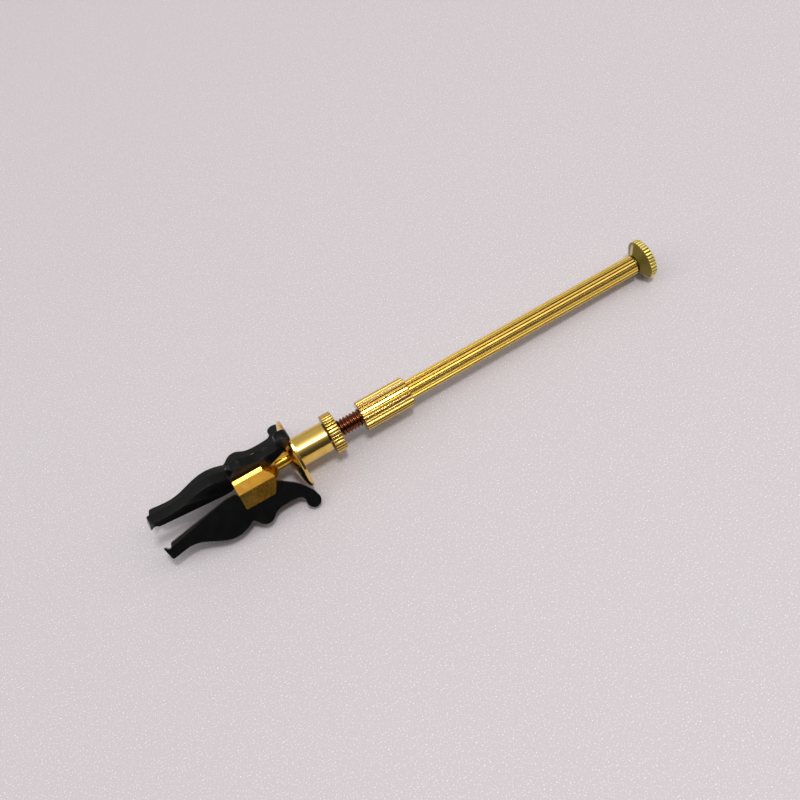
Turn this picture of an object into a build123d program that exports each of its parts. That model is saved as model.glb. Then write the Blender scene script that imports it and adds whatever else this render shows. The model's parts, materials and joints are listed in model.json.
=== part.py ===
from build123d import *
import os
from math import asin, atan, cos, degrees, hypot, pi, radians, sin

# A small three-claw puller of the clockmaker's kind, lying on a bench as it comes to rest.
# Lengths are in millimetres.  A station is a distance along the tool's axis from the middle
# of the flange's rim: it grows towards the end knob and is negative towards the claws.

# ---- driving dimensions ------------------------------------------------------------
RUN = 0.03                # radial running clearance of turned fits
THREAD_R = 1.80           # crest radius of the thread that the adjuster runs on
THREAD_ROOT_R = 1.47
THREAD_PITCH = 0.75

ROD_R = 0.60              # pressure rod
ROD_BORE_R = 0.64
SCREW_R = 1.15            # threaded length of the pressure rod
STEM_BORE_R = 1.22

FLANGE_R = 7.40           # spreader flange
FLANGE_EDGE = 0.30        # half the thickness of its rim
FLANGE_NOSE = -1.95       # station where its domed front meets the neck
NECK_R = 1.40             # carrier's neck, which the flange slides on

SLEEVE_R = 3.10
SLEEVE_END = 7.20
RING_R = 4.25             # knurled adjusting ring
RING_START = 7.50
RING_END = 9.85
RING_RIDGES = 36

STEM_START = 2.60
STEM_END = 17.60
COLLAR_R = 3.18           # knurled grip collar
COLLAR_START = 15.10
COLLAR_END = 26.00
COLLAR_RIDGES = 27

HANDLE_R = 2.08           # long knurled handle
HANDLE_START = 25.20
HANDLE_END = 81.00
HANDLE_RIDGES = 20
HANDLE_SOCKET_R = 2.20    # hole in the collar that the handle runs into

KNOB_R = 4.25
KNOB_END = 84.10
KNOB_RIDGES = 35

BAR_R = 5.15              # round bar that the claw carrier is turned from
FACE = -13.70             # station of the carrier's front face
SHOULDER = -7.27          # station where the carrier's rear cone starts
CARRIER_BACK = -4.50
ARM_SPREAD = 19.5         # degrees from an arm's middle to the edge of its outer face
GROOVE_R = 3.20           # depth of the V between two arms, from the axis
SLOT_WIDTH = 2.00
SLOT_FLOOR = 1.00

CLAW_THICK = 1.90
PIVOT_STATION = -11.79
PIVOT_RADIUS = 3.55       # distance of a claw's pivot from the tool's axis
PIN_R = 0.65
BALL_STATION = -1.21      # ball at the end of a claw's tail
BALL_RADIUS = 9.89
BALL_R = 1.46

# ---- how the tool lies -------------------------------------------------------------
# It rests on the flange's rim, the knob's rim and the ball of one claw.  The first two set
# the slope of the axis, and the ball sets how far the tool rolls.
SLOPE = atan((FLANGE_R - KNOB_R) / (KNOB_END - FLANGE_EDGE))
AXIS_HEIGHT = FLANGE_R * cos(SLOPE) + FLANGE_EDGE * sin(SLOPE)
ball_height = AXIS_HEIGHT - BALL_STATION * sin(SLOPE)
ball_reach = hypot(BALL_RADIUS + BALL_R, CLAW_THICK / 2)
BALL_DIP = degrees(
    asin(ball_height / ball_reach) - atan(CLAW_THICK / 2 / (BALL_RADIUS + BALL_R))
)
LOW_CLAW_ROLL = 90 + BALL_DIP
CLAW_ROLLS = [LOW_CLAW_ROLL - 120, LOW_CLAW_ROLL, LOW_CLAW_ROLL + 120]

# The origin is on the bench under the middle of the tool's own box.
FLANGE_X = -26.32
FLANGE_Y = -0.51

FLANGE_CENTRE = (FLANGE_X, FLANGE_Y, AXIS_HEIGHT)
TO_KNOB = (cos(SLOPE), 0, -sin(SLOPE))
UPWARDS = (sin(SLOPE), 0, cos(SLOPE))
TOOL = Plane(origin=FLANGE_CENTRE, x_dir=UPWARDS, z_dir=TO_KNOB)
SECTION = Plane(origin=FLANGE_CENTRE, x_dir=TO_KNOB, z_dir=(0, -1, 0))
TOOL_AXIS = Axis(FLANGE_CENTRE, TO_KNOB)

os.makedirs("parts", exist_ok=True)


def radial_plane(roll):
    """Plane through the tool's axis: local x towards the knob, local y outwards at roll degrees."""
    across = TOOL.x_dir.rotate(Axis((0, 0, 0), TO_KNOB), roll - 90)
    return Plane(origin=FLANGE_CENTRE, x_dir=TO_KNOB, z_dir=across * -1)


def section(points):
    """Half section of a turned piece: pairs of station and radius."""
    with BuildSketch(SECTION) as profile:
        with BuildLine():
            Polyline(*points, close=True)
        make_face()
    return profile.sketch


def tube(start, end, outer, inner, chamfer_out=0.0):
    """Half section of a tube, with its outer ends bevelled."""
    return section([
        (start, inner),
        (start, outer - chamfer_out),
        (start + chamfer_out, outer),
        (end - chamfer_out, outer),
        (end, outer - chamfer_out),
        (end, inner),
    ] if chamfer_out else [(start, inner), (start, outer), (end, outer), (end, inner)])


def knurl(station, crest_r, depth, ridges):
    """Cross section of a straight-knurled bar: flat crests with V grooves between."""
    step = 2 * pi / ridges
    points = []
    for ridge in range(ridges):
        for share, radius in ((0.0, crest_r - depth), (0.28, crest_r), (0.72, crest_r)):
            angle = (ridge + share) * step
            points.append((radius * cos(angle), radius * sin(angle)))
    with BuildSketch(TOOL.offset(station)) as outline:
        Polygon(*points, align=None)
    return outline.sketch


def arms_outline(station):
    """Cross section of the carrier: three arms with shallow V grooves between them."""
    edge_r = BAR_R + 1.0
    corner = radians(ARM_SPREAD)
    slant = (BAR_R * cos(corner) - GROOVE_R / 2) / (GROOVE_R * sin(pi / 3) - BAR_R * sin(corner))
    half = BAR_R * sin(corner) - (edge_r - BAR_R * cos(corner)) / slant
    points = []
    for roll in CLAW_ROLLS:
        middle = radians(roll)
        for out, side in ((edge_r, -half), (edge_r, half)):
            points.append((
                out * cos(middle) - side * sin(middle),
                out * sin(middle) + side * cos(middle),
            ))
        valley = middle + pi / 3
        points.append((GROOVE_R * cos(valley), GROOVE_R * sin(valley)))
    with BuildSketch(TOOL.offset(station)) as outline:
        Polygon(*points, align=None)
    return outline.sketch


def export(part, name):
    part.label = name
    export_step(part, f"parts/{name}.step")


# ---- claw carrier ------------------------------------------------------------------
SPIGOT_R = STEM_BORE_R - 0.02
SPIGOT_END = 7.0

with BuildPart() as claw_carrier:
    extrude(arms_outline(FACE), amount=CARRIER_BACK - FACE)
    revolve(
        section([
            (FACE, 0), (FACE, BAR_R - 0.15), (FACE + 0.15, BAR_R), (SHOULDER, BAR_R),
            (CARRIER_BACK, NECK_R + 0.3), (CARRIER_BACK, 0),
        ]),
        axis=TOOL_AXIS, mode=Mode.INTERSECT,
    )
    revolve(
        section([
            (CARRIER_BACK, 0), (CARRIER_BACK, NECK_R), (STEM_START, NECK_R),
            (STEM_START, SPIGOT_R), (SPIGOT_END, SPIGOT_R), (SPIGOT_END, 0),
        ]),
        axis=TOOL_AXIS,
    )
    revolve(
        section([(FACE, 0), (FACE, ROD_BORE_R), (SPIGOT_END, ROD_BORE_R), (SPIGOT_END, 0)]),
        axis=TOOL_AXIS, mode=Mode.SUBTRACT,
    )
    for roll in CLAW_ROLLS:
        with BuildSketch(TOOL.offset(FACE)):
            with PolarLocations(SLOT_FLOOR + BAR_R, 1, start_angle=roll):
                Rectangle(2 * BAR_R, SLOT_WIDTH)
        extrude(amount=CARRIER_BACK - FACE, mode=Mode.SUBTRACT)
        with BuildSketch(radial_plane(roll)):
            with Locations((PIVOT_STATION, PIVOT_RADIUS)):
                Circle(PIN_R)
        extrude(amount=BAR_R, both=True, mode=Mode.SUBTRACT)
export(claw_carrier.part, "claw_carrier")

# ---- pivot pins, flush with the arms' sides ----------------------------------------
for number, roll in enumerate(CLAW_ROLLS, start=1):
    with BuildPart() as pivot_pin:
        with BuildSketch(radial_plane(roll)):
            with Locations((PIVOT_STATION, PIVOT_RADIUS)):
                Circle(PIN_R - 0.005)
        extrude(amount=BAR_R, both=True)
        extrude(arms_outline(FACE), amount=CARRIER_BACK - FACE, mode=Mode.INTERSECT)
    export(pivot_pin.part, f"pivot_pin_{number}")

# ---- claws -------------------------------------------------------------------------
# Outline in the claw's own plane: pairs of station and distance from the tool's axis.
BALL = (BALL_STATION, BALL_RADIUS)
BALL_OUT = (-2.52, 9.25)
BALL_IN = (0.02, 9.10)

for number, roll in enumerate(CLAW_ROLLS, start=1):
    with BuildPart() as claw:
        with BuildSketch(radial_plane(roll)):
            with BuildLine():
                Spline(
                    BALL_OUT, (-3.05, 8.25), (-4.86, 7.84), (-6.87, 7.83), (-8.88, 8.36),
                    (-10.1, 9.30), (-11.08, 9.56), (-12.1, 9.20), (-12.95, 8.25), (-13.71, 7.45),
                )
                Spline(
                    (-13.71, 7.45), (-15.8, 8.43), (-17.6, 8.76), (-19.7, 8.42), (-21.72, 7.55),
                    (-24.2, 6.30), (-26.3, 5.84), (-28.64, 6.05), (-30.45, 6.36),
                )
                Line((-30.45, 6.36), (-30.86, 6.20))
                Line((-30.86, 6.20), (-31.46, 3.65))
                Line((-31.46, 3.65), (-31.02, 3.80))
                ThreePointArc((-31.02, 3.80), (-30.66, 4.22), (-30.05, 4.10))
                Line((-30.05, 4.10), (-29.70, 3.32))
                Line((-29.70, 3.32), (-16.34, 1.09))
                Line((-16.34, 1.09), (-14.50, 1.09))
                Line((-14.50, 1.09), (-13.90, 1.62))
                Line((-13.90, 1.62), (-9.60, 1.78))
                Spline(
                    (-9.60, 1.78), (-6.20, 2.60), (-4.05, 4.10), (-2.84, 5.02), (-1.66, 6.24),
                    (-0.62, 7.60), BALL_IN,
                    tangents=((1, 0.03), (0.15, 1)),
                )
                ThreePointArc(BALL_IN, (BALL_STATION + 0.45, BALL_RADIUS + 1.389), BALL_OUT)
            make_face()
        extrude(amount=CLAW_THICK / 2, both=True)
        with BuildSketch(radial_plane(roll)):
            with Locations((PIVOT_STATION, PIVOT_RADIUS)):
                Circle(PIN_R + 0.03)
        extrude(amount=CLAW_THICK, both=True, mode=Mode.SUBTRACT)
    export(claw.part, f"claw_{number}")

# ---- leaf springs under the claws' fronts ------------------------------------------
SPRING_WIDTH = 1.2
SPRING_THICK = 0.12

for number, roll in enumerate(CLAW_ROLLS, start=1):
    with BuildPart() as claw_spring:
        with BuildSketch(radial_plane(roll)):
            with BuildLine():
                Polyline(
                    (-7.90, SLOT_FLOOR + 0.01),
                    (-10.40, SLOT_FLOOR + 0.01),
                    (-13.55, SLOT_FLOOR + 0.10),
                    (-13.55, SLOT_FLOOR + 0.10 + SPRING_THICK),
                    (-10.40, SLOT_FLOOR + 0.01 + SPRING_THICK),
                    (-7.90, SLOT_FLOOR + 0.01 + SPRING_THICK),
                    close=True,
                )
            make_face()
        extrude(amount=SPRING_WIDTH / 2, both=True)
    export(claw_spring.part, f"claw_spring_{number}")

# ---- threaded stem -----------------------------------------------------------------
# The thread is drawn as evenly spaced V ridges at the pitch of the real helix.
TURNS = int((STEM_END - STEM_START) / THREAD_PITCH)
thread_points = [(STEM_START, STEM_BORE_R), (STEM_START, THREAD_ROOT_R)]
for turn in range(TURNS):
    ridge = STEM_START + 0.1 + turn * THREAD_PITCH
    thread_points += [
        (ridge, THREAD_ROOT_R),
        (ridge + 0.34 * THREAD_PITCH, THREAD_R),
        (ridge + 0.52 * THREAD_PITCH, THREAD_R),
        (ridge + 0.86 * THREAD_PITCH, THREAD_ROOT_R),
    ]
thread_points += [(STEM_END, THREAD_ROOT_R), (STEM_END, STEM_BORE_R)]

with BuildPart() as threaded_stem:
    revolve(section(thread_points), axis=TOOL_AXIS)
export(threaded_stem.part, "threaded_stem")

# ---- spreader flange, with the boss that the sleeve turns on -----------------------
BOSS_R = 2.30
BOSS_END = 1.50
CLIP_STATION = 0.85
CLIP_WIDTH = 0.20
DOME = ((-1.85, 3.0), (-1.28, 5.2), (-0.62, 6.85))     # station and radius down its front

with BuildPart() as spreader_flange:
    revolve(
        section([
            (FLANGE_NOSE, NECK_R + RUN), (FLANGE_NOSE, NECK_R + 0.35), *DOME,
            (-FLANGE_EDGE, FLANGE_R - 0.1), (-FLANGE_EDGE + 0.1, FLANGE_R),
            (FLANGE_EDGE, FLANGE_R), (FLANGE_EDGE, BOSS_R),
            (CLIP_STATION - 0.1, BOSS_R), (CLIP_STATION - 0.1, BOSS_R - 0.3),
            (CLIP_STATION + CLIP_WIDTH + 0.1, BOSS_R - 0.3),
            (CLIP_STATION + CLIP_WIDTH + 0.1, BOSS_R), (BOSS_END, BOSS_R),
            (BOSS_END, NECK_R + RUN),
        ]),
        axis=TOOL_AXIS,
    )
export(spreader_flange.part, "spreader_flange")

# ---- retaining clip between flange and sleeve --------------------------------------
with BuildPart() as flange_clip:
    revolve(
        tube(CLIP_STATION, CLIP_STATION + CLIP_WIDTH, BOSS_R + 0.33, BOSS_R - 0.22),
        axis=TOOL_AXIS,
    )
    with BuildSketch(TOOL.offset(CLIP_STATION)):
        with Locations((BOSS_R, 0)):
            Rectangle(2.0, 0.8)
    extrude(amount=CLIP_WIDTH, mode=Mode.SUBTRACT)
export(flange_clip.part, "flange_clip")

# ---- adjuster sleeve ---------------------------------------------------------------
RING_SPIGOT_R = 2.50
RING_SPIGOT_START = 5.60
SLEEVE_START = FLANGE_EDGE + 0.05

with BuildPart() as adjuster_sleeve:
    revolve(
        section([
            (SLEEVE_START, BOSS_R + RUN), (SLEEVE_START, SLEEVE_R - 0.08),
            (SLEEVE_START + 0.08, SLEEVE_R), (SLEEVE_END, SLEEVE_R),
            (SLEEVE_END, RING_SPIGOT_R + 0.01),
            (RING_SPIGOT_START - 0.05, RING_SPIGOT_R + 0.01),
            (RING_SPIGOT_START - 0.05, THREAD_R + 0.2), (BOSS_END + 0.1, THREAD_R + 0.2),
            (BOSS_END + 0.1, BOSS_R + RUN),
            (CLIP_STATION + CLIP_WIDTH + 0.01, BOSS_R + RUN),
            (CLIP_STATION + CLIP_WIDTH + 0.01, BOSS_R + 0.34),
            (CLIP_STATION - 0.01, BOSS_R + 0.34), (CLIP_STATION - 0.01, BOSS_R + RUN),
        ]),
        axis=TOOL_AXIS,
    )
export(adjuster_sleeve.part, "adjuster_sleeve")

# ---- knurled adjusting ring --------------------------------------------------------
with BuildPart() as adjuster_ring:
    extrude(knurl(RING_START, RING_R, 0.20, RING_RIDGES), amount=RING_END - RING_START)
    revolve(
        tube(RING_START, RING_END, RING_R, 0, 0.15), axis=TOOL_AXIS, mode=Mode.INTERSECT
    )
    revolve(
        section([
            (RING_SPIGOT_START, 0), (RING_SPIGOT_START, RING_SPIGOT_R),
            (SLEEVE_END + 0.02, RING_SPIGOT_R), (SLEEVE_END + 0.02, 2.72),
            (RING_START, 2.72), (RING_START, 0),
        ]),
        axis=TOOL_AXIS,
    )
    revolve(
        section([
            (RING_SPIGOT_START, 0), (RING_SPIGOT_START, THREAD_R + RUN),
            (RING_END - 0.15, THREAD_R + RUN), (RING_END, THREAD_R + RUN + 0.2), (RING_END, 0),
        ]),
        axis=TOOL_AXIS, mode=Mode.SUBTRACT,
    )
export(adjuster_ring.part, "adjuster_ring")

# ---- knurled grip collar -----------------------------------------------------------
NUT_END = 20.00
with BuildPart() as grip_collar:
    extrude(knurl(COLLAR_START, COLLAR_R, 0.20, COLLAR_RIDGES), amount=COLLAR_END - COLLAR_START)
    revolve(
        tube(COLLAR_START, COLLAR_END, COLLAR_R, 0, 0.18), axis=TOOL_AXIS, mode=Mode.INTERSECT
    )
    revolve(
        section([
            (COLLAR_START, 0), (COLLAR_START, THREAD_R + 0.01), (NUT_END + 0.05, THREAD_R + 0.01),
            (NUT_END + 0.05, HANDLE_SOCKET_R), (COLLAR_END - 0.1, HANDLE_SOCKET_R),
            (COLLAR_END, HANDLE_SOCKET_R + 0.1), (COLLAR_END, 0),
        ]),
        axis=TOOL_AXIS, mode=Mode.SUBTRACT,
    )
export(grip_collar.part, "grip_collar")

# ---- nut for the pressure screw, inside the collar ---------------------------------
with BuildPart() as screw_nut:
    revolve(tube(STEM_END + 0.03, NUT_END, THREAD_R, SCREW_R + RUN, 0.1), axis=TOOL_AXIS)
export(screw_nut.part, "screw_nut")

# ---- pressure screw: thin rod in front, threaded length behind ---------------------
TIP_START = FACE + 0.35
TIP_END = -7.40
SCREW_START = 17.40
SCREW_IN_HANDLE = 31.20

with BuildPart() as pressure_screw:
    revolve(
        section([
            (TIP_END + 0.02, 0), (TIP_END + 0.02, ROD_R), (SCREW_START, ROD_R),
            (SCREW_START + 0.3, SCREW_R), (SCREW_IN_HANDLE, SCREW_R), (SCREW_IN_HANDLE, 0),
        ]),
        axis=TOOL_AXIS,
    )
export(pressure_screw.part, "pressure_screw")

# ---- pressure tip, which doesn't turn with the screw -------------------------------
with BuildPart() as pressure_tip:
    revolve(
        section([
            (TIP_START, 0), (TIP_START, 0.30), (TIP_START + 0.2, 0.50), (TIP_END - 1.2, 0.50),
            (TIP_END - 1.2, ROD_R), (TIP_END, ROD_R), (TIP_END, 0),
        ]),
        axis=TOOL_AXIS,
    )
export(pressure_tip.part, "pressure_tip")

# ---- long knurled handle -----------------------------------------------------------
KNOB_SPIGOT_R = 1.00
KNOB_SPIGOT_START = 77.50

with BuildPart() as handle:
    extrude(knurl(HANDLE_START, HANDLE_R, 0.20, HANDLE_RIDGES), amount=HANDLE_END - HANDLE_START)
    revolve(
        tube(HANDLE_START, HANDLE_END, HANDLE_R, 0, 0.22), axis=TOOL_AXIS, mode=Mode.INTERSECT
    )
    revolve(
        tube(HANDLE_START, SCREW_IN_HANDLE + 0.1, SCREW_R + 0.01, 0),
        axis=TOOL_AXIS, mode=Mode.SUBTRACT,
    )
    revolve(
        tube(KNOB_SPIGOT_START - 0.1, HANDLE_END, KNOB_SPIGOT_R + 0.01, 0),
        axis=TOOL_AXIS, mode=Mode.SUBTRACT,
    )
export(handle.part, "handle")

# ---- end knob: a cone that flares from the handle to a knurled rim ------------------
KNOB_NECK_R = 1.55
KNOB_CONE_START = 81.30
KNOB_RIM_START = 82.65

with BuildPart() as end_knob:
    extrude(knurl(HANDLE_END, KNOB_R, 0.22, KNOB_RIDGES), amount=KNOB_END - HANDLE_END)
    revolve(
        section([
            (HANDLE_END + 0.02, 0), (HANDLE_END + 0.02, KNOB_NECK_R),
            (KNOB_CONE_START, KNOB_NECK_R), (KNOB_CONE_START, 2.05),
            (KNOB_RIM_START, KNOB_R - 0.15), (KNOB_RIM_START + 0.15, KNOB_R),
            (KNOB_END - 0.1, KNOB_R), (KNOB_END, KNOB_R - 0.1), (KNOB_END, 0),
        ]),
        axis=TOOL_AXIS, mode=Mode.INTERSECT,
    )
    revolve(tube(KNOB_SPIGOT_START, HANDLE_END + 0.02, KNOB_SPIGOT_R, 0), axis=TOOL_AXIS)
export(end_knob.part, "end_knob")
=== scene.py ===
import bmesh
import bpy
import json
from math import cos, pi, radians, sin
from mathutils import Matrix, Vector


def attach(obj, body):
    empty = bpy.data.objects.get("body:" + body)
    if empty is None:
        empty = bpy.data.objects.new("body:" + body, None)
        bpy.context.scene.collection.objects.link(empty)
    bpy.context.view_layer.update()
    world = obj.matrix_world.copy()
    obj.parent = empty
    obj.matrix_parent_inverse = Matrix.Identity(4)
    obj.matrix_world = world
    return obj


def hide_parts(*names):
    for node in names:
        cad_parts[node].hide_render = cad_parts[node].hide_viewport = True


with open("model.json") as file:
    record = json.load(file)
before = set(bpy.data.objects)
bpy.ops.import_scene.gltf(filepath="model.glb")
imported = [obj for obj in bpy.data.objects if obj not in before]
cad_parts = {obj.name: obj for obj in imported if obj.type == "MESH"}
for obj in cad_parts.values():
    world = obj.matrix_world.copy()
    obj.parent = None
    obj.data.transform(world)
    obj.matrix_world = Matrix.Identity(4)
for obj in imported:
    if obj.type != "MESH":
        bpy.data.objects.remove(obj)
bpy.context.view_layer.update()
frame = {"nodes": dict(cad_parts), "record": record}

MM = 0.001
WELD = 0.002 * MM         # vertices closer than this are one vertex
SLIVER = 0.001 * MM       # edges shorter than this are removed

# ---- the tool's own axes, read from the frame -----------------------------------------
behaviour = frame["record"]["behaviour"]
joints = {joint["name"]: joint for joint in behaviour["joints"]}
FLANGE = Vector(joints["adjuster_turn"]["pos_m"])
FORWARD = Vector(joints["adjuster_turn"]["axis"]).normalized()
BACKWARD = -FORWARD
LEVEL = Vector((0, 1, 0))
OVERHEAD = Vector((0, 0, 1))
UPWARD = BACKWARD.cross(LEVEL).normalized()
if UPWARD.z < 0:
    UPWARD = -UPWARD


def outward(roll):
    """Direction away from the tool's axis, at a roll in degrees from upright."""
    return UPWARD * cos(radians(roll)) - LEVEL * sin(radians(roll))


def tool_point(station, radius=0.0, roll=0.0):
    """Point at a station behind the flange, at a radius and a roll from upright, in mm."""
    return FLANGE + (BACKWARD * station + outward(roll) * radius) * MM


def reach(node):
    """What a CAD node spans, in mm: first and last station, least and greatest radius."""
    stations = []
    radii = []
    for vertex in frame["nodes"][node].data.vertices:
        offset = vertex.co - FLANGE
        along = offset.dot(BACKWARD)
        stations.append(along / MM)
        radii.append((offset - BACKWARD * along).length / MM)
    return min(stations), max(stations), min(radii), max(radii)


# ---- camera ---------------------------------------------------------------------------
IMAGE_SIDE = 800
FOCAL = 1100.0            # focal length in image pixels
DISTANCE = 220.0          # from the camera to the flange along the view, in mm
CAMERA_ROLL = 29.5        # the view's lean from upright, round the tool's axis
CAMERA_PITCH = 8.0        # the view's lean towards the claws
AXIS_SLANT = 29.3         # slope of the tool's axis in the image
AIM_ALONG = 23.5          # from the flange to the middle of the view, along the axis
AIM_ACROSS = -0.9         # from the axis to the middle of the view, up the image
SENSOR_WIDTH = 36.0
NEAREST = 5 * MM          # start of what the camera sees


def make_camera():
    """Places the camera and returns the direction from the flange towards it."""
    pitch = radians(CAMERA_PITCH)
    towards_camera = (outward(CAMERA_ROLL) * cos(pitch) + FORWARD * sin(pitch)).normalized()
    along = (BACKWARD - towards_camera * BACKWARD.dot(towards_camera)).normalized()
    across = towards_camera.cross(along)
    slant = radians(AXIS_SLANT)
    right = along * cos(slant) - across * sin(slant)
    top = along * sin(slant) + across * cos(slant)
    place = FLANGE + (towards_camera * DISTANCE + along * AIM_ALONG + across * AIM_ACROSS) * MM
    data = bpy.data.cameras.new("view")
    data.sensor_width = SENSOR_WIDTH
    data.lens = FOCAL / IMAGE_SIDE * data.sensor_width
    data.clip_start = NEAREST
    camera = bpy.data.objects.new("view", data)
    camera.matrix_world = Matrix.Translation(place) @ Matrix(
        (right, top, towards_camera)
    ).transposed().to_4x4()
    bpy.context.scene.collection.objects.link(camera)
    bpy.context.scene.camera = camera
    return towards_camera


TOWARDS_CAMERA = make_camera()
TOWARDS_VIEWER = Vector((TOWARDS_CAMERA.x, TOWARDS_CAMERA.y, 0)).normalized()


# ---- node helpers ---------------------------------------------------------------------
class Nodes:
    """Short way to build a material's node tree."""

    def __init__(self, name):
        self.material = bpy.data.materials.new(name)
        self.material.use_nodes = True
        self.tree = self.material.node_tree
        self.shader = self.tree.nodes["Principled BSDF"]

    def add(self, kind, inputs=None, **settings):
        node = self.tree.nodes.new(kind)
        for key, value in settings.items():
            setattr(node, key, value)
        for key, value in (inputs or {}).items():
            if isinstance(value, bpy.types.NodeSocket):
                self.tree.links.new(value, node.inputs[key])
            else:
                node.inputs[key].default_value = value
        return node

    def math(self, operation, first, second=0.0):
        return self.add("ShaderNodeMath", {0: first, 1: second}, operation=operation).outputs[0]

    def mix(self, share, first, second):
        node = self.add("ShaderNodeMix", {0: share}, data_type="RGBA")
        for socket, value in ((node.inputs[6], first), (node.inputs[7], second)):
            if isinstance(value, bpy.types.NodeSocket):
                self.tree.links.new(value, socket)
            else:
                socket.default_value = (*value, 1)
        return node.outputs[2]

    def ramp(self, value, low, high, to_low=0.0, to_high=1.0):
        return self.add(
            "ShaderNodeMapRange",
            {"Value": value, "From Min": low, "From Max": high, "To Min": to_low,
             "To Max": to_high},
        ).outputs[0]

    def noise(self, vector, scale, detail=3.0, roughness=0.5):
        return self.add(
            "ShaderNodeTexNoise",
            {"Vector": vector, "Scale": scale, "Detail": detail, "Roughness": roughness},
        ).outputs["Fac"]

    def link(self, socket, name):
        self.tree.links.new(socket, self.shader.inputs[name])

    def bump(self, height, strength, distance):
        node = self.add(
            "ShaderNodeBump", {"Height": height, "Strength": strength, "Distance": distance}
        )
        self.link(node.outputs[0], "Normal")


def tool_coordinates(nodes):
    """Place in the tool's own frame, in mm: as a vector, its station and its radius."""
    place = nodes.add("ShaderNodeTexCoord").outputs["Object"]
    moved = nodes.add(
        "ShaderNodeVectorMath", {0: place, 1: FLANGE}, operation="SUBTRACT"
    ).outputs[0]
    parts = []
    for direction in (BACKWARD, -LEVEL, UPWARD):
        dot = nodes.add("ShaderNodeVectorMath", {0: moved, 1: direction}, operation="DOT_PRODUCT")
        parts.append(nodes.math("MULTIPLY", dot.outputs["Value"], 1 / MM))
    vector = nodes.add(
        "ShaderNodeCombineXYZ", {0: parts[0], 1: parts[1], 2: parts[2]}
    ).outputs[0]
    radius = nodes.math(
        "SQRT",
        nodes.math(
            "ADD", nodes.math("MULTIPLY", parts[1], parts[1]),
            nodes.math("MULTIPLY", parts[2], parts[2]),
        ),
    )
    return vector, parts[0], radius


# ---- materials ------------------------------------------------------------------------
RELIEF = 0.02 * MM        # height of the finest marks on the metal
# Pale colour painted on brass edges and knurl crests: a painted highlight, partly also rubbed
# bare brass.
GLINT = (1.0, 0.86, 0.50)


def brass(name, colour, dark, roughness, turned, grain, tarnish=0.35, knurled=None):
    """Bright cut brass: turning rings, faint scratches, painted shade in its hollows, and pale
    edges that are partly rubbed bare brass and partly a painted highlight.

    turned and grain are how deep the turning rings and the scratches are, and tarnish how
    much of the dark colour shows. The grooves of the node named as knurled get painted shade,
    darker the deeper they lie below its crest, and its crests a strong painted highlight."""
    nodes = Nodes(name)
    vector, station, radius = tool_coordinates(nodes)
    lathe = nodes.math("ADD", station, radius)
    rings = nodes.add(
        "ShaderNodeTexNoise", {"W": lathe, "Scale": 9.0, "Detail": 4.0, "Roughness": 0.75},
        noise_dimensions="1D",
    ).outputs["Fac"]
    cloud = nodes.noise(vector, 0.45, 4.0, 0.6)
    fine = nodes.noise(vector, 9.0, 2.0, 0.6)
    scratch_map = nodes.add(
        "ShaderNodeMapping", {"Vector": vector, "Scale": (0.6, 6.0, 6.0)}
    ).outputs[0]
    scratches = nodes.noise(scratch_map, 3.0, 3.0, 0.7)
    corner = nodes.add("ShaderNodeNewGeometry").outputs["Pointiness"]
    # Convex edges; in this brass they carry the painted highlight, partly also rubbed bare brass,
    # mixed towards GLINT below.
    edge_mask = nodes.ramp(corner, 0.53, 0.62)
    shade = nodes.math("MULTIPLY", nodes.ramp(cloud, 0.40, 0.68), tarnish)
    colour_mix = nodes.mix(shade, colour, dark)
    if knurled:
        # Painted shade in the knurl grooves, darker the deeper they lie below the crest.
        crest = reach(knurled)[3]
        depth = nodes.math("ADD", radius, nodes.ramp(fine, 0.3, 0.7, -0.02, 0.02))
        painted_shade = nodes.ramp(depth, crest - 0.04, crest - 0.12, 0.0, 0.95)
        shade_colour = tuple(c * 0.25 for c in dark)
    else:
        # Painted shade in concave corners.
        painted_shade = nodes.ramp(corner, 0.47, 0.40, 0.0, 0.55)
        shade_colour = dark
    # The painted shade is mixed into the brass colour here.
    shaded_colour = nodes.mix(painted_shade, colour_mix, shade_colour)
    # Painted highlight, partly also rubbed bare brass: strong on knurl crests, faint on other
    # edges.
    wear_and_glint = nodes.math("MULTIPLY", edge_mask, 0.7 if knurled else 0.12)
    nodes.link(nodes.mix(wear_and_glint, shaded_colour, GLINT), "Base Color")
    nodes.shader.inputs["Metallic"].default_value = 1.0
    base = nodes.ramp(cloud, 0.3, 0.7, roughness * 0.8, roughness * 1.25)
    nodes.link(nodes.math("ADD", base, nodes.ramp(rings, 0.3, 0.7, -0.02, 0.05)), "Roughness")
    height = nodes.math("MULTIPLY", rings, turned)
    height = nodes.math("ADD", height, nodes.math("MULTIPLY", scratches, grain))
    height = nodes.math("ADD", height, nodes.math("MULTIPLY", fine, 0.3 * grain))
    nodes.bump(height, 0.35, RELIEF)
    return nodes.material


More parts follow.
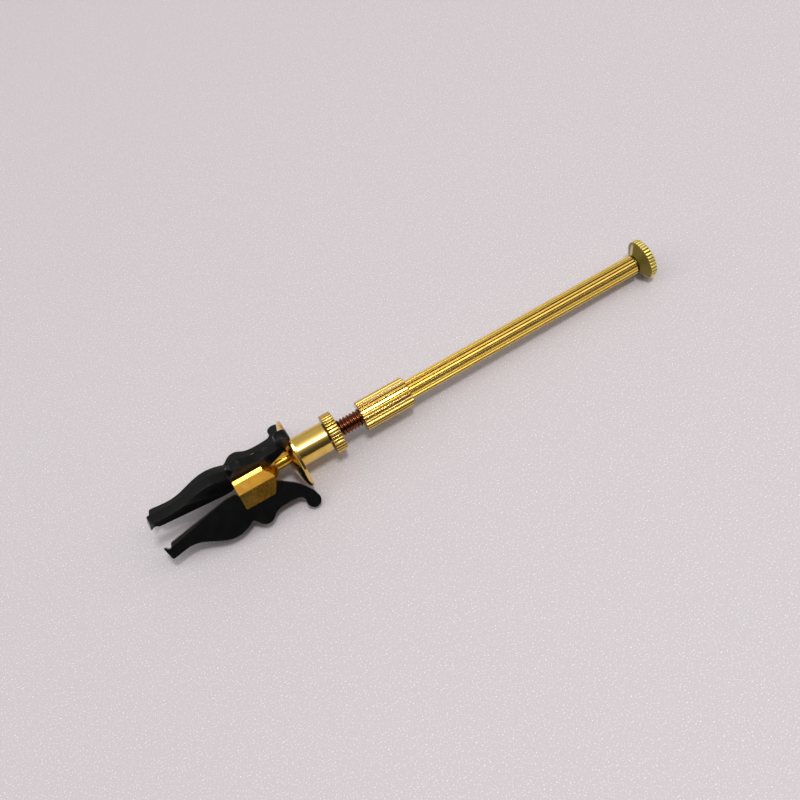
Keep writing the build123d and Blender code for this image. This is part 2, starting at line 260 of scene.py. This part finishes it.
def black_steel(name):
    """Blackened spring steel: smooth, slightly glossy, greyer on its ground edges."""
    nodes = Nodes(name)
    vector = tool_coordinates(nodes)[0]
    cloud = nodes.noise(vector, 0.5, 4.0, 0.6)
    fine = nodes.noise(vector, 14.0, 3.0, 0.6)
    corner = nodes.add("ShaderNodeNewGeometry").outputs["Pointiness"]
    edge_mask = nodes.math("MULTIPLY", nodes.ramp(corner, 0.54, 0.66), nodes.ramp(fine, 0.35, 0.6))
    patches = nodes.ramp(cloud, 0.35, 0.7)
    tone = nodes.mix(patches, (0.0008, 0.0013, 0.0013), (0.002, 0.003, 0.0025))
    bare = nodes.math("MULTIPLY", edge_mask, 0.5)
    nodes.link(nodes.mix(bare, tone, (0.06, 0.055, 0.05)), "Base Color")
    nodes.link(nodes.ramp(cloud, 0.3, 0.7, 0.17, 0.24), "Roughness")
    nodes.shader.inputs["Metallic"].default_value = 0.0
    nodes.shader.inputs["Specular IOR Level"].default_value = 0.20
    nodes.bump(nodes.math("ADD", fine, nodes.math("MULTIPLY", cloud, 0.6)), 0.25, RELIEF)
    return nodes.material


def steel(name):
    """Ground steel with a fine uneven grain."""
    nodes = Nodes(name)
    vector = tool_coordinates(nodes)[0]
    fine = nodes.noise(vector, 8.0, 3.0, 0.6)
    nodes.link(nodes.mix(fine, (0.42, 0.42, 0.43), (0.60, 0.60, 0.61)), "Base Color")
    nodes.shader.inputs["Metallic"].default_value = 1.0
    nodes.link(nodes.ramp(fine, 0.3, 0.7, 0.22, 0.38), "Roughness")
    nodes.bump(fine, 0.2, RELIEF)
    return nodes.material


GOLD = (0.94, 0.62, 0.13)
GOLD_DARK = (0.45, 0.23, 0.04)
MATERIALS = {
    "sleeve": brass(
        "polished_brass", (0.93, 0.64, 0.16), (0.55, 0.31, 0.05), 0.17, turned=0.6, grain=0.15,
    ),
    "flange": brass(
        "flange_brass", (0.84, 0.58, 0.18), (0.50, 0.26, 0.05), 0.13, turned=0.5, grain=0.1,
        tarnish=0.2,
    ),
    "ring": brass(
        "ring_brass", GOLD, GOLD_DARK, 0.20, turned=0.2, grain=0.2, knurled="adjuster_ring",
    ),
    "collar": brass(
        "collar_brass", GOLD, GOLD_DARK, 0.22, turned=0.1, grain=0.2, knurled="grip_collar",
    ),
    "handle": brass(
        "handle_brass", (0.95, 0.66, 0.12), (0.80, 0.46, 0.07), 0.24, turned=0.1, grain=0.2,
        knurled="handle",
    ),
    "knob": brass(
        "knob_brass", (0.98, 0.84, 0.24), (0.78, 0.58, 0.12), 0.42, turned=0.2, grain=0.3,
        knurled="end_knob",
    ),
    "carrier": brass(
        "carrier_brass", (0.90, 0.50, 0.06), (0.50, 0.19, 0.015), 0.24, turned=0.2, grain=1.1,
    ),
    "bronze": brass(
        "thread_bronze", (0.26, 0.085, 0.035), (0.07, 0.018, 0.008), 0.20, turned=0.3,
        grain=0.3, tarnish=0.6,
    ),
    "black": black_steel("black_steel"),
    "steel": steel("ground_steel"),
}

NODE_MATERIAL = {
    "claw_carrier": "carrier", "threaded_stem": "bronze", "grip_collar": "collar",
    "screw_nut": "bronze", "spreader_flange": "flange", "flange_clip": "steel",
    "adjuster_sleeve": "sleeve", "adjuster_ring": "ring", "pressure_screw": "steel",
    "pressure_tip": "steel", "handle": "handle", "end_knob": "knob",
}
for number in (1, 2, 3):
    NODE_MATERIAL[f"claw_{number}"] = "black"
    NODE_MATERIAL[f"claw_spring_{number}"] = "steel"
    NODE_MATERIAL[f"pivot_pin_{number}"] = "carrier"

BODY_OF = {node: body for body, nodes in behaviour["bodies"].items() for node in nodes}


def wear_material(obj, material):
    obj.data.materials.clear()
    obj.data.materials.append(material)


for node, obj in frame["nodes"].items():
    wear_material(obj, MATERIALS[NODE_MATERIAL[node]])


# ---- refined pieces -------------------------------------------------------------------
def take_over(piece, node):
    """Puts a refined piece in a CAD node's place, on its body and with its finish."""
    wear_material(piece, MATERIALS[NODE_MATERIAL[node]])
    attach(piece, BODY_OF[node])
    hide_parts(node)


def bake(piece):
    """Puts the result of a piece's modifiers in its own mesh."""
    graph = bpy.context.evaluated_depsgraph_get()
    finished = bpy.data.meshes.new_from_object(piece.evaluated_get(graph))
    piece.modifiers.clear()
    piece.data = finished


FLAT = 1.0                # faces that meet at less than this are one face, in degrees


def refined(node, bevel, sharp, crease):
    """A copy of a CAD node's shape with its edges softly broken and smooth round faces.

    Edges sharper than sharp get a bevel, and those past crease stay a line in the shading."""
    source = frame["nodes"][node]
    mesh = source.data.copy()
    mesh.name = node + "_fine"
    bm = bmesh.new()
    bm.from_mesh(mesh)
    bmesh.ops.remove_doubles(bm, verts=bm.verts, dist=WELD)
    bmesh.ops.dissolve_degenerate(bm, edges=bm.edges, dist=SLIVER)
    bmesh.ops.dissolve_limit(
        bm, angle_limit=radians(FLAT), verts=bm.verts, edges=bm.edges,
        use_dissolve_boundaries=False,
    )
    bm.to_mesh(mesh)
    bm.free()
    piece = bpy.data.objects.new(node + "_fine", mesh)
    bpy.context.scene.collection.objects.link(piece)
    modifier = piece.modifiers.new("edges", "BEVEL")
    modifier.width = bevel * MM
    modifier.segments = 2
    modifier.limit_method = "ANGLE"
    modifier.angle_limit = radians(sharp)
    modifier.miter_outer = "MITER_ARC"
    bake(piece)
    piece.data.shade_smooth()
    piece.data.set_sharp_from_angle(angle=radians(crease))
    weights = piece.modifiers.new("normals", "WEIGHTED_NORMAL")
    weights.keep_sharp = True
    weights.weight = 100
    bake(piece)
    take_over(piece, node)


follows = {coupling["joint"]: coupling for coupling in behaviour["couplings"]}
THREAD_START, THREAD_END, THREAD_BORE_R, THREAD_R = reach("threaded_stem")
THREAD_PITCH = follows["flange_slide"]["ratio"] * 2 * pi / MM
THREAD_ROOT_R = 1.47
THREAD_CREASE = 60
STEPS = 48                # vertices round one turn
# One turn of the thread: share of the pitch, and share of the rise from root to crest.
THREAD_FORM = (
    (0.0, 0.0), (0.12, 0.15), (0.36, 0.90), (0.45, 1.0), (0.55, 1.0), (0.64, 0.90), (0.88, 0.15),
)


def helical_thread():
    """The stem with its thread as a true right-handed helix."""
    turns = round((THREAD_END - THREAD_START) / THREAD_PITCH) + 2
    rows = [[(THREAD_START, THREAD_BORE_R)] * STEPS]
    for turn in range(-1, turns):
        for share, rise in THREAD_FORM:
            row = []
            for step in range(STEPS):
                station = THREAD_START + (turn + share + step / STEPS) * THREAD_PITCH
                radius = THREAD_ROOT_R + rise * (THREAD_R - THREAD_ROOT_R)
                if not THREAD_START < station < THREAD_END:
                    station = min(max(station, THREAD_START), THREAD_END)
                    radius = THREAD_ROOT_R
                row.append((station, radius))
            rows.append(row)
    rows.append([(THREAD_END, THREAD_BORE_R)] * STEPS)
    bm = bmesh.new()
    grid = [
        [bm.verts.new(tool_point(station, radius, 360.0 * step / STEPS))
         for step, (station, radius) in enumerate(row)]
        for row in rows
    ]
    per_turn = len(THREAD_FORM)
    for index, here in enumerate(grid):
        there = grid[(index + 1) % len(grid)]
        on_helix = 0 < index < len(grid) - 2 - per_turn
        for step in range(STEPS):
            after = (step + 1) % STEPS
            if after == 0 and on_helix:
                # The end of a turn meets the start of the next one.
                next_here = grid[index + per_turn][0]
                next_there = grid[index + per_turn + 1][0]
            else:
                next_here = here[after]
                next_there = there[after]
            bm.faces.new((here[step], next_here, next_there, there[step]))
    bmesh.ops.remove_doubles(bm, verts=bm.verts, dist=SLIVER)
    bmesh.ops.recalc_face_normals(bm, faces=bm.faces)
    mesh = bpy.data.meshes.new("threaded_stem_fine")
    bm.to_mesh(mesh)
    bm.free()
    mesh.shade_smooth()
    mesh.set_sharp_from_angle(angle=radians(THREAD_CREASE))
    piece = bpy.data.objects.new("threaded_stem_fine", mesh)
    bpy.context.scene.collection.objects.link(piece)
    take_over(piece, "threaded_stem")


# Width of the bevel in mm, then the angles of a sharp edge and of a crease, in degrees.
EDGES = {
    "claw_1": (0.05, 30, 40), "claw_2": (0.05, 30, 40), "claw_3": (0.05, 30, 40),
    "spreader_flange": (0.04, 20, 14), "adjuster_sleeve": (0.04, 30, 40),
    "claw_carrier": (0.04, 15, 12), "grip_collar": (0.03, 25, 40), "handle": (0.025, 25, 40),
    "adjuster_ring": (0.03, 25, 40), "end_knob": (0.03, 25, 40),
}
for node, (bevel, sharp, crease) in EDGES.items():
    refined(node, bevel, sharp, crease)
helical_thread()


# ---- floor and light ------------------------------------------------------------------
TABLE_SIZE = 4.0


def floor_material():
    """Pale lilac table top with a fine sparkle."""
    nodes = Nodes("pale_table")
    place = nodes.add("ShaderNodeTexCoord").outputs["Object"]
    broad = nodes.noise(place, 9.0, 2.0, 0.5)
    grain = nodes.noise(place, 3200.0, 2.0, 0.6)
    tone = nodes.mix(broad, (0.610, 0.572, 0.612), (0.630, 0.600, 0.628))
    speck = nodes.mix(nodes.ramp(grain, 0.57, 0.72), tone, (0.95, 0.93, 0.94))
    nodes.link(speck, "Base Color")
    nodes.shader.inputs["Roughness"].default_value = 0.62
    nodes.shader.inputs["Specular IOR Level"].default_value = 0.25
    nodes.bump(grain, 0.35, 0.1 * MM)
    return nodes.material


def make_floor():
    bpy.ops.mesh.primitive_plane_add(size=TABLE_SIZE, location=(0, 0, 0))
    floor = bpy.context.object
    floor.name = "table"
    wear_material(floor, floor_material())


# Brightness of the room by the angle from overhead, in degrees: plus is the camera's side.
ROOM = (
    (-90, 0.20), (-50, 0.24), (-30, 0.25), (-18, 0.36), (-7, 0.55), (0, 0.85), (8, 0.85),
    (15, 0.55), (22, 0.34), (30, 0.13), (45, 0.07), (60, 0.03), (90, 0.008),
)

ROOM_STRENGTH = 2.1
ROOM_TINT = (1.0, 0.965, 0.95)


def make_room():
    """A room whose brightness depends only on the angle from overhead, seen from the side."""
    world = bpy.data.worlds.new("room")
    bpy.context.scene.world = world
    world.use_nodes = True
    tree = world.node_tree
    background = tree.nodes["Background"]
    direction = tree.nodes.new("ShaderNodeTexCoord").outputs["Generated"]
    sides = []
    for axis in (TOWARDS_VIEWER, OVERHEAD):
        dot = tree.nodes.new("ShaderNodeVectorMath")
        dot.operation = "DOT_PRODUCT"
        tree.links.new(direction, dot.inputs[0])
        dot.inputs[1].default_value = axis
        sides.append(dot.outputs["Value"])
    angle = tree.nodes.new("ShaderNodeMath")
    angle.operation = "ARCTAN2"
    tree.links.new(sides[0], angle.inputs[0])
    tree.links.new(sides[1], angle.inputs[1])
    share = tree.nodes.new("ShaderNodeMapRange")
    share.inputs["From Min"].default_value = -pi / 2
    share.inputs["From Max"].default_value = pi / 2
    tree.links.new(angle.outputs[0], share.inputs["Value"])
    ramp = tree.nodes.new("ShaderNodeValToRGB")
    stops = ramp.color_ramp.elements
    while len(stops) < len(ROOM):
        stops.new(0.5)
    for stop, (degrees, level) in zip(stops, ROOM):
        stop.position = degrees / 180 + 0.5
        stop.color = (*(level * tint for tint in ROOM_TINT), 1)
    tree.links.new(share.outputs[0], ramp.inputs["Fac"])
    tree.links.new(ramp.outputs["Color"], background.inputs["Color"])
    background.inputs["Strength"].default_value = ROOM_STRENGTH


WINDOW_TOWARDS_VIEWER = 0.23      # the window's lean, for each unit of height
WINDOW_TOWARDS_KNOB = 0.14
WINDOW_DISTANCE = 0.9
WINDOW_SIZE = 0.12
WINDOW_POWER = 3.0
WINDOW_COLOUR = (1.0, 0.975, 0.95)


def make_light():
    """One small window high above the tool, a little on the viewer's side."""
    data = bpy.data.lights.new("window", "AREA")
    data.energy = WINDOW_POWER
    data.color = WINDOW_COLOUR
    data.size = WINDOW_SIZE
    lean = TOWARDS_VIEWER * WINDOW_TOWARDS_VIEWER + BACKWARD * WINDOW_TOWARDS_KNOB
    away = (lean + OVERHEAD).normalized()
    light = bpy.data.objects.new("window", data)
    light.location = away * WINDOW_DISTANCE
    light.rotation_euler = away.to_track_quat("Z", "Y").to_euler()
    bpy.context.scene.collection.objects.link(light)


make_floor()
make_room()
make_light()
bpy.context.scene.view_settings.view_transform = "Standard"
